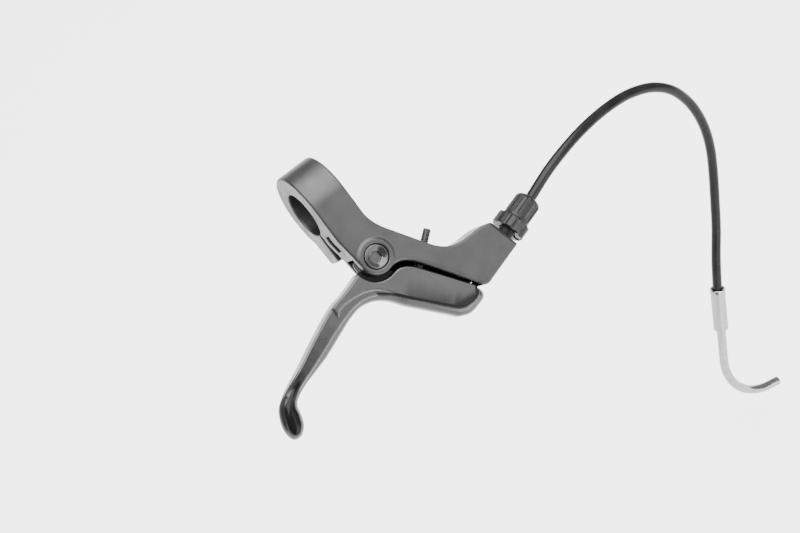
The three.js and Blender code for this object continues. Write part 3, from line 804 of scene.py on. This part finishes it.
def swept(name, path, stations, section, sides):
    """A closed chain of rings along a path. A station is a distance and a size for section()."""
    points = []
    for distance, size in stations:
        centre, direction, side = path(distance)
        other = direction.cross(side)
        for k in range(sides):
            angle = 2 * math.pi * k / sides
            radius = section(size, angle, distance) * MM
            points.append(centre + (side * math.cos(angle) + other * math.sin(angle)) * radius)
    faces = []
    for i in range(len(stations)):
        j = (i + 1) % len(stations)
        for k in range(sides):
            m = (k + 1) % sides
            faces.append((i * sides + k, i * sides + m, j * sides + m, j * sides + k))
    obj = new_object(name, points, faces, Matrix.Identity(4))
    obj.data.set_sharp_from_angle(angle=math.radians(35))
    return obj


def plain(size, angle, distance):
    return size


def noodle():
    length, pocket, end = SOCKET["length"], SOCKET["pocket"], NOODLE_END
    outer, tube, bore, mouth = SOCKET["radius"], NOODLE["radius"], NOODLE["bore"], HOUSING_R + GAP
    lip, shoulder = 0.35, 1.3
    quarter = np.linspace(0, math.pi / 2, 5)
    stations = [(d, mouth) for d in np.linspace(pocket, lip, 4)]
    stations += [(lip * (1 - math.sin(t)), outer - lip * (1 + math.cos(t))) for t in (0.3, 0.8)]
    stations += [(lip * (1 - math.cos(t)), outer - lip * (1 - math.sin(t))) for t in quarter]
    stations += [(d, outer) for d in np.linspace(2, length - shoulder - 0.5, 6)]
    for t in np.linspace(0, 1, 9):
        blend = t * t * (3 - 2 * t)
        stations.append((length - shoulder + shoulder * t, outer + (tube - outer) * blend))
    stations += [(d, tube) for d in np.linspace(length + 0.8, end - lip, 44)]
    rim = (tube - bore) / 2
    over = np.linspace(0.3, math.pi, 7)
    stations += [(end - rim + rim * math.sin(t), tube - rim + rim * math.cos(t)) for t in over]
    stations += [(d, bore) for d in np.linspace(end - 1, pocket, 40)]
    obj = swept("noodle_tube", on_noodle, stations, plain, 48)
    return place(obj, "noodle", "cable_run", "noodle_steel")


def noodle_liner():
    start, end = SOCKET["pocket"] + GAP, NOODLE_END + LINER["stickout"]
    stations = [(d, LINER["radius"]) for d in np.linspace(start, end - 0.15, 40)]
    stations += [(end, LINER["radius"] - 0.15), (end, LINER["bore"] + 0.1)]
    stations += [(d, LINER["bore"]) for d in np.linspace(end - 0.1, start, 40)]
    obj = swept("liner", on_noodle, stations, plain, 24)
    return place(obj, "noodle_liner", "cable_run", "bush_plastic")


def inner_cable():
    """Seven strands' worth of outline, twisted along the cable line."""
    strands, radius, pitch, start, end = 7, 0.75, 9, ANCHOR + 3.8, 10
    strand = radius * math.sin(math.pi / strands) / (1 + math.sin(math.pi / strands))

    def lobes(size, angle, distance):
        fold = 2 * math.pi / strands
        local = (angle + 2 * math.pi * distance / pitch + fold / 2) % fold - fold / 2
        middle = radius - strand
        reach = middle * math.cos(local) + math.sqrt(max(0, strand ** 2 - (middle * math.sin(local)) ** 2))
        return reach * size

    stations = [(start, 1e-3), (start, 0.9), (start + 0.05, 1)]
    stations += [(d, 1) for d in np.linspace(start + 0.4, end - 0.4, 110)]
    stations += [(end - 0.05, 1), (end, 0.9), (end, 1e-3)]
    obj = swept("inner_wire", on_cable_line, stations, lobes, strands * 8)
    obj.data.set_sharp_from_angle(angle=math.radians(80))
    place(obj, "inner_cable", "pulled_wire", "wire_steel")


# ---- lever body ----
def cable_cuts(grid):
    """Bore for the stem, room for the wire behind it and the slot that the wire is fitted through."""
    s, t = grid.along(HEAD_END, CABLE_ANGLE)
    w = grid.z - CABLE_Z
    bore = meet(np.hypot(t, w) - STEM_R - GAP, STEM_START - 3 - s)
    wide, high = CHANNEL
    channel = np.maximum(slab(t, -wide, wide), slab(w, -high, high))
    channel = np.maximum(channel, slab(s, ANCHOR - 1, STEM_START))
    slot = np.maximum(abs(w) - CABLE_SLOT / 2, np.maximum(slab(t, -20, 0), slab(s, ANCHOR - 1, 2)))
    return join(bore, join(channel, slot, 0.3), 0.3)


def pinch_cuts(grid):
    """Hole of the clamp bolt, with room for its head and the nut's square pocket."""
    across = np.hypot(grid.x, grid.y - PINCH_Y)
    half = NUT_HALF + GAP
    recess_radius, recess_top = PINCH_RECESS
    hole = np.maximum(across - THREAD_R - GAP, grid.z - NUT[1] - 2)
    recess = np.maximum(across - recess_radius, grid.z - recess_top)
    sides = np.maximum(grid.x - half, abs(grid.y - PINCH_Y) - half)
    pocket = np.maximum(sides, slab(grid.z, NUT[0] - GAP, NUT[1] + GAP))
    return np.minimum(np.minimum(hole, recess), pocket)


def pivot_cuts(grid, radial):
    """Cavity that the blade's root swings in, and the stepped hole of the pivot bolt."""
    swing = outline([tuple(PIVOT), *arc(PIVOT, *SWING)], grid.x, grid.y)
    cavity = meet(np.minimum(radial - HUB_R - 2 * GAP, swing), slab(grid.z, *CAVITY), 0.5)
    shank = np.maximum(radial - SHANK_R - GAP, CAVITY[1] - 1 - grid.z)
    end = np.maximum(radial - THREAD_R - GAP, grid.z - CAVITY[0] - 1)
    counterbore = np.maximum(radial - COUNTERBORE[0], COUNTERBORE[1] - grid.z)
    return np.minimum(np.minimum(cavity, counterbore), np.minimum(shank, end))


# Thin floor of the gap between the arm and the blade, just below the blade.
LEDGE = [
    (4, -40), (5.4, -44.6), (11.6, -46.6), (16.2, -49.8), (20.6, -56.6), (31, -71.6), (33.6, -73.4),
    (38, -68), (26, -48), (14, -39),
]


def lever_body():
    grid = Grid((-9.7, -75, -21), (58.5, 21, 21.7), 0.3)
    radial = np.hypot(grid.x - PIVOT.x, grid.y - PIVOT.y)
    band = meet(outline(band_outline(), grid.y, grid.z), abs(grid.x) - BAND_HALF, EDGE)
    lip = BOSS_HEIGHT * (1 - smoothstep(radial, BOSS_R - 0.7, BOSS_R + 0.3))
    front = smoothstep(-25 - grid.x - grid.y, -1, 3)
    front = front * smoothstep(grid.x, 5, 11) * smoothstep(grid.x, 35, 32)
    arm_edge = EDGE - 0.1 + 0.8 * front
    arm = meet(outline(arm_outline(), grid.x, grid.y), slab(grid.z, ARM[0], ARM[1] + lip), arm_edge)
    s, _ = grid.along(HEAD_END, CABLE_ANGLE)
    arm = meet(arm, (s + grid.z - ARM[1] + HEAD_CHAMFER) * math.sqrt(0.5), 0.25)
    ledge = meet(outline(LEDGE, grid.x, grid.y), slab(grid.z, ARM[0], ARM[0] + LEDGE_THICK), 0.3)
    body = np.minimum(np.minimum(band, arm), ledge)
    body = cut(body, np.hypot(grid.y, grid.z) - BAR_R, 0.5)
    body = cut(body, np.maximum(slab(grid.z, *SLIT), grid.y + 9), 0.3)
    body = cut(body, pinch_cuts(grid), 0.3)
    body = cut(body, pivot_cuts(grid, radial), 0.3)
    body = cut(body, cable_cuts(grid), 0.3)
    s, t = grid.along(SCREW_CONTACT, SCREW_ANGLE)
    body = cut(body, np.maximum(np.hypot(t, grid.z - CABLE_Z) - SCREW_R - GAP, -10 - s), 0.3)
    obj = solid("body_casting", body, grid, LEVER, keep=0.3)
    place(obj, "lever_body", "body", "body_resin")


# ---- blade ----
# Crease between the blade's flat faces and its rounded front rim, from the paddle to the tip.
FRONT_CREASE = [
    (31.2, -71.5), (30.9, -73.6), (28.6, -75), (24.7, -75.3), (20.9, -74.8), (17.6, -72.4), (9.4, -63.6),
    (3.1, -56.8), (-2.7, -50.6), (-7.5, -46.9), (-12.6, -44.9), (-17.5, -44.5), (-21.6, -45), (-31, -47.7),
    (-45.2, -53), (-59.8, -57.9), (-66.5, -59.9),
]
# Crease where the plateau over the hub and paddle ends on the neck.
NECK_CREASE = [
    (-4.1, -47.4), (-7.6, -44.2), (-12.2, -42.2), (-16.2, -41.4), (-20.3, -41.1), (-24.8, -41.3),
    (-28, -43.4),
]


def crown(grid):
    """How far the blade's face has fallen away towards the tip."""
    return 0.0007 * np.clip(-grid.x - 8, 0, 50) ** 2


def blade_levels(grid, silhouette):
    """The plateau over the hub and paddle, and the blade's own flat face, behind the front rim."""
    crease = curve_through(FRONT_CREASE)
    behind = outline([*crease, (-72, -30), (40, -30), (40, -66)], grid.x, grid.y)
    split = FRONT_CREASE.index((3.1, -56.8)) + 1
    plateau_edge = curve_through([*FRONT_CREASE[:split], *NECK_CREASE])
    plateau = outline([*plateau_edge, (-28, -20), (40, -20), (40, -66)], grid.x, grid.y)
    sink = crown(grid) + 3.2 * smoothstep(-grid.x, 55, 70)
    face = meet(np.maximum(silhouette, behind), slab(grid.z, BLADE[0] + 3, BLADE[1] - 0.4 - sink), 0.7)
    raised = meet(np.maximum(silhouette, plateau), slab(grid.z, BLADE[0] + 3, BLADE[1]), 0.7)
    return face, raised


def mark_painted_shade(obj):
    """Marks where shade is painted: the line where the raised plateau meets the front rim, and the hollow
    of the tip.
    """
    split = FRONT_CREASE.index((-12.6, -44.9))
    crease = curve_through(FRONT_CREASE[:split])
    x, y, z = np.array([LEVER.inverted() @ vertex.co for vertex in obj.data.vertices]).T
    away = abs(outline([*crease, (-12, -30), (40, -30), (40, -66)], x, y) + 0.5)
    line = (1 - smoothstep(away, 0.3, 1.2)) * smoothstep(z, 14, 15) * smoothstep(-y, 44, 47)
    inside = -outline(blade_outline(), x, y)
    hollow = smoothstep(-x, 54, 62) * smoothstep(inside, 1.3, 2.4) * smoothstep(z, 10, 11)
    marks = obj.data.attributes.new("painted_shade", "FLOAT", "POINT")
    marks.data.foreach_set("value", np.maximum(line, 0.85 * hollow).astype(np.float32))


def anchor_cuts(grid):
    """Seat of the cable head, open below, and the fan that the wire needs as the blade turns."""
    x, y = cable_point(ANCHOR, 0)
    radial = np.hypot(grid.x - x, grid.y - y)
    floor = BLADE[0] - 1
    pin = np.maximum(radial - PIN_R - GAP, slab(grid.z, floor, CABLE_Z + PIN_HALF + GAP))
    fan = outline([(x, y - 1.2), *arc((x, y), *WIRE_SWING, 8), (x - 1.2, y + 1)], grid.x, grid.y)
    return np.minimum(pin, np.maximum(fan, slab(grid.z, floor, CABLE_Z + 1.4)))


def lever_blade():
    grid = Grid((-78, -80.7, 4.2), (34, -23, 18.6), 0.26)
    silhouette = outline(blade_outline(), grid.x, grid.y)
    radial = np.hypot(grid.x - PIVOT.x, grid.y - PIVOT.y)
    roll = 3.8 + 1.5 * smoothstep(-grid.x, 54, 68)
    rim = meet(silhouette, slab(grid.z, BLADE[0], BLADE[1] - 1.6 - crown(grid)), roll)
    face, raised = blade_levels(grid, silhouette)
    full = join(join(rim, face, 0.7), raised, 0.35)
    full = cut(full, radial - BLADE_INNER_R, 0.5)
    web = outline([tuple(PIVOT), *arc(PIVOT, *WEB)], grid.x, grid.y)
    hub = meet(np.minimum(web, radial - HUB_R), slab(grid.z, *HUB), 0.4)
    blade = np.minimum(full, hub)
    blade = cut(blade, radial - (BUSH_R + GAP), 0.3)
    blade = cut(blade, anchor_cuts(grid), 0.3)
    obj = solid("blade_casting", blade, grid, LEVER, keep=0.4)
    mark_painted_shade(obj)
    place(obj, "lever_blade", "blade", "blade_paint")


# ---- fasteners ----
def clamp_bolt():
    top, height, head_radius, socket_depth = -9.6, 4.6, 4.25, 2.6
    grid = Grid((-4.8, PINCH_Y - 4.8, top - height - 0.5), (4.8, PINCH_Y + 4.8, NUT[1] + 1.6), 0.15)
    radial = np.hypot(grid.x, grid.y - PINCH_Y)
    head = meet(radial - head_radius, slab(grid.z, top - height, top), 0.5)
    angle = np.arctan2(grid.y - PINCH_Y, grid.x)
    shank = meet(thread(radial, angle, grid.z, *M5), slab(grid.z, top - 1, NUT[1] + 1), 0.3)
    socket = np.maximum(hexagon(grid.x, grid.y - PINCH_Y, 2), grid.z - (top - height + socket_depth))
    bolt = cut(join(head, shank, 0.3), socket, 0.15)
    obj = solid("pinch_bolt", bolt, grid, LEVER, keep=0.3)
    place(obj, "clamp_bolt", "body", "black_steel")


def clamp_nut():
    half = NUT_HALF
    around = half + 0.6
    grid = Grid((-around, PINCH_Y - around, NUT[0] - 0.6), (around, PINCH_Y + around, NUT[1] + 0.6), 0.2)
    radial = np.hypot(grid.x, grid.y - PINCH_Y)
    sides = meet(abs(grid.x) - half, abs(grid.y - PINCH_Y) - half, 0.5)
    nut = cut(meet(sides, slab(grid.z, *NUT), 0.4), radial - THREAD_R - GAP, 0.2)
    obj = solid("square_nut", nut, grid, LEVER, keep=0.3)
    place(obj, "clamp_nut", "body", "zinc_steel")


def pivot_bolt():
    grid = Grid((PIVOT.x - 6, PIVOT.y - 6, -2.8), (PIVOT.x + 6, PIVOT.y + 6, BOLT_TOP + 0.6), 0.14)
    dx, dy = grid.x - PIVOT.x, grid.y - PIVOT.y
    radial = np.hypot(dx, dy)
    head_bottom, dish_radius, dish_depth, socket_depth = 18.2, 4.9, 1.5, 2.9
    dish = np.clip((dish_radius - radial) / 2.2, 0, 1)
    head = meet(radial - BOLT_HEAD_R, slab(grid.z, head_bottom, BOLT_TOP), 0.35)
    head = cut(head, (BOLT_TOP - dish_depth * dish - grid.z) * 0.82, 0.12)
    shank = meet(radial - SHANK_R, slab(grid.z, CAVITY[0], 19), 0.2)
    end = meet(thread(radial, np.arctan2(dy, dx), grid.z, *M5), slab(grid.z, -2.2, 8), 0.3)
    bolt = join(np.minimum(head, shank), end, 0.2)
    bolt = cut(bolt, np.maximum(hexagon(dx, dy, 2.5), BOLT_TOP - socket_depth - grid.z), 0.15)
    obj = solid("pivot_screw", bolt, grid, LEVER, keep=0.3)
    place(obj, "pivot_bolt", "body", "black_steel")


def pivot_nut():
    top = ARM[0] - GAP
    grid = Grid((PIVOT.x - 5.2, PIVOT.y - 5.2, top - 4.5), (PIVOT.x + 5.2, PIVOT.y + 5.2, top + 0.5), 0.16)
    dx, dy = grid.x - PIVOT.x, grid.y - PIVOT.y
    radial = np.hypot(dx, dy)
    bottom = top - 4
    nut = meet(hexagon(dx, dy, 4), slab(grid.z, bottom, top), 0.2)
    bevel = (radial - 4.15 + (bottom - grid.z) * 1.5) / 1.8
    nut = cut(meet(nut, bevel, 0.1), radial - THREAD_R - GAP, 0.3)
    obj = solid("hex_nut", nut, grid, LEVER, keep=0.3)
    place(obj, "pivot_nut", "body", "zinc_steel")


def chamfered_ring(inner, outer, low, high, chamfer=0.15):
    """Profile of a washer, sleeve or bush with its corners taken off."""
    return [
        (low, inner + chamfer), (low, outer - chamfer), (low + chamfer, outer), (high - chamfer, outer),
        (high, outer - chamfer), (high, inner + chamfer), (high - chamfer, inner), (low + chamfer, inner),
    ]


def rings():
    pivot = upright(*PIVOT)
    pinch = upright(0, PINCH_Y)
    inner, middle = SHANK_R + GAP, (HUB[0] + HUB[1]) / 2
    washers = [
        ("plain_washer", "clamp_washer", pinch, (THREAD_R + GAP, 4.6, -9.3, -8.3)),
        ("thrust_washer_top", "pivot_washer_upper", pivot, (inner, PIVOT_WASHER_R, 15.1, 15.7)),
        ("thrust_washer_bottom", "pivot_washer_lower", pivot, (inner, PIVOT_WASHER_R, 6.5, 7.1)),
    ]
    for name, node, matrix, sizes in washers:
        place(lathe(name, chamfered_ring(*sizes), matrix), node, "body", "zinc_steel")
    bushes = [
        ("bush_top", "pivot_bush_upper", (middle + GAP / 2, HUB[1])),
        ("bush_bottom", "pivot_bush_lower", (HUB[0], middle - GAP / 2)),
    ]
    for name, node, levels in bushes:
        place(lathe(name, chamfered_ring(inner, BUSH_R, *levels), pivot), node, "blade", "bush_plastic")


def reach_screw():
    contact = LEVER @ Vector((*SCREW_CONTACT, CABLE_Z))
    matrix = frame_matrix(contact, joints["reach_screw_travel"]["axis"], LEVER_NORMAL)
    grid = Grid((-0.4, -2.5, -2.5), (SCREW_LENGTH + 0.5, 2.5, 2.5), 0.1)
    radial = np.hypot(grid.y, grid.z)
    screw = thread(radial, np.arctan2(grid.z, grid.y), grid.x, *M4)
    nose = np.hypot(np.minimum(grid.x - 1.6, 0), radial * 0.6) - 1.3
    screw = meet(meet(screw, slab(grid.x, GAP, SCREW_LENGTH), 0.3), nose, 0.1)
    screw = cut(screw, np.maximum(hexagon(grid.y, grid.z, 1), SCREW_LENGTH - 2.2 - grid.x), 0.12)
    obj = solid("set_screw", screw, grid, matrix, keep=0.35)
    place(obj, "reach_screw", "reach_screw", "black_steel")


# ---- barrel, lock ring and the cable's end pieces ----
def grooves(angle, radial, count, centre, radius):
    """Equal round grooves along a turned piece."""
    step = 2 * math.pi / count
    local = angle % step - step / 2
    return np.hypot(radial * np.cos(local) - centre, radial * np.sin(local)) - radius


def cable_slot(grid):
    return np.maximum(grid.y, abs(grid.z) - CABLE_SLOT / 2)


def barrel_adjuster():
    grid = Grid((STEM_START - 0.6, -7, -7), (KNOB[1] + 0.6, 7, 7), 0.16)
    radial, angle = np.hypot(grid.y, grid.z), np.arctan2(grid.z, grid.y)
    stem = meet(thread(radial, angle, grid.x, *M8), slab(grid.x, STEM_START, KNOB[0] + 1), 0.4)
    knob = meet(radial - KNOB_R, slab(grid.x, *KNOB), 0.4)
    past_end = np.maximum(grid.x - (KNOB[1] - KNOB_ROUND), 0)
    past_side = np.maximum(radial - (KNOB_R - KNOB_ROUND), 0)
    knob = np.maximum(knob, np.hypot(past_end, past_side) - KNOB_ROUND)
    flutes = np.maximum(grooves(angle, radial, 12, KNOB_R + 0.1, 0.78), KNOB[0] + 1.5 - grid.x)
    knob = cut(knob, flutes, 0.12)
    bore = np.minimum(radial - (HOUSING_R + GAP), np.maximum(radial - POCKET[1], POCKET[0] - grid.x))
    barrel = cut(cut(join(stem, knob, 0.2), bore, 0.2), cable_slot(grid), 0.2)
    obj = solid("barrel", barrel, grid, CABLE, keep=0.35)
    place(obj, "barrel_adjuster", "barrel", "barrel_plastic")


def lock_ring():
    grid = Grid((RING[0] - 0.6, -8.8, -8.8), (RING[1] + 0.6, 8.8, 8.8), 0.16)
    radial, angle = np.hypot(grid.y, grid.z), np.arctan2(grid.z, grid.y)
    ring = meet(radial - RING_R, slab(grid.x, *RING), 0.5)
    ring = cut(ring, grooves(angle, radial, 10, RING_R + 0.4, 1.35), 0.15)
    ring = cut(cut(ring, radial - STEM_R - GAP, 0.3), cable_slot(grid), 0.3)
    obj = solid("knurled_ring", ring, grid, CABLE, keep=0.35)
    place(obj, "lock_ring", "lock_ring", "barrel_plastic")


def cable_ends():
    outer, inner, floor = POCKET[1] - GAP, HOUSING_R + GAP, HOUSING_START - GAP
    start, end, lip = POCKET[0] + GAP, 21.4, 0.12
    cup = [
        (start, 1.2), (start, outer - 0.4), (start + 0.4, outer), (end - lip, outer), (end, outer - lip),
        (end, inner + lip), (end - lip, inner), (floor, inner), (floor, 1.2),
    ]
    place(lathe("end_cap", cup, CABLE), "housing_ferrule", "cable_run", "zinc_steel")
    half, radius, chamfer = PIN_HALF, PIN_R, 0.35
    pin = [
        (-half, 0), (-half, radius - chamfer), (chamfer - half, radius), (half - chamfer, radius),
        (half, radius - chamfer), (half, 1.3), (half - 0.25, 1.1), (half - 0.25, 0),
    ]
    matrix = CABLE @ Matrix.Translation((ANCHOR, 0, 0)) @ Matrix.Rotation(-math.pi / 2, 4, "Y")
    place(lathe("barrel_nipple", pin, matrix), "cable_head", "pulled_wire", "zinc_steel")


# ---- stage ----
def floor():
    size, height = 6, cad_box[0].z - 0.03
    corners = [(-size, -size, height), (size, -size, height), (size, size, height), (-size, size, height)]
    obj = new_object("floor", corners, [(0, 1, 2, 3)], Matrix.Identity(4))
    look = Look("floor", (0.86, 0.86, 0.86), 0.6)
    look.patches((0.82, 0.82, 0.825), 180, 0.5)
    look.uneven(60, -0.05, 0.1)
    obj.data.materials.append(look.done())


def area_light(name, direction, distance, size, power, target=(0.06, -0.05, -0.06)):
    data = bpy.data.lights.new(name, "AREA")
    data.shape = "RECTANGLE"
    data.size, data.size_y = size
    data.energy = power
    obj = add_object(name, data)
    away = Vector(direction).normalized()
    obj.location = Vector(target) + away * distance
    obj.rotation_euler = away.to_track_quat("Z", "Y").to_euler()


def studio_world():
    """An even pale dome with one wide dark patch, which gives bright metal its dark reflections."""
    world = bpy.data.worlds.new("studio")
    world.use_nodes = True
    nodes, links = world.node_tree.nodes, world.node_tree.links
    background = nodes["Background"]
    background.inputs["Color"].default_value = (0.97, 0.98, 1, 1)
    towards = nodes.new("ShaderNodeVectorMath")
    towards.operation = "DOT_PRODUCT"
    towards.inputs[1].default_value = Vector((-0.78, -0.36, 0.5)).normalized()
    links.new(nodes.new("ShaderNodeTexCoord").outputs["Generated"], towards.inputs[0])
    patch = nodes.new("ShaderNodeMapRange")
    patch.interpolation_type = "SMOOTHSTEP"
    for key, number in (("From Min", 0.3), ("From Max", 0.72), ("To Min", 0.75), ("To Max", 0.05)):
        patch.inputs[key].default_value = number
    links.new(towards.outputs["Value"], patch.inputs["Value"])
    links.new(patch.outputs["Result"], background.inputs["Strength"])
    bpy.context.scene.world = world


def lights():
    area_light("ceiling_panel", (0, 0, 1), 2.2, (2.6, 2.6), 330)
    area_light("key_box", (0.43, -0.67, 0.6), 1.5, (1.0, 0.8), 9.5)
    area_light("top_box", (0.28, 0.57, 0.77), 1.6, (0.9, 0.6), 12)
    area_light("front_box", (0.1, -0.97, 0.12), 1.3, (1.6, 0.7), 36)
    area_light("side_strip", (-0.95, -0.1, 0.25), 1.4, (0.2, 1.2), 3)
    studio_world()


camera()
cable_housing([noodle(), noodle_liner()])
inner_cable()
lever_body()
lever_blade()
clamp_bolt()
clamp_nut()
pivot_bolt()
pivot_nut()
rings()
reach_screw()
barrel_adjuster()
lock_ring()
cable_ends()
floor()
lights()
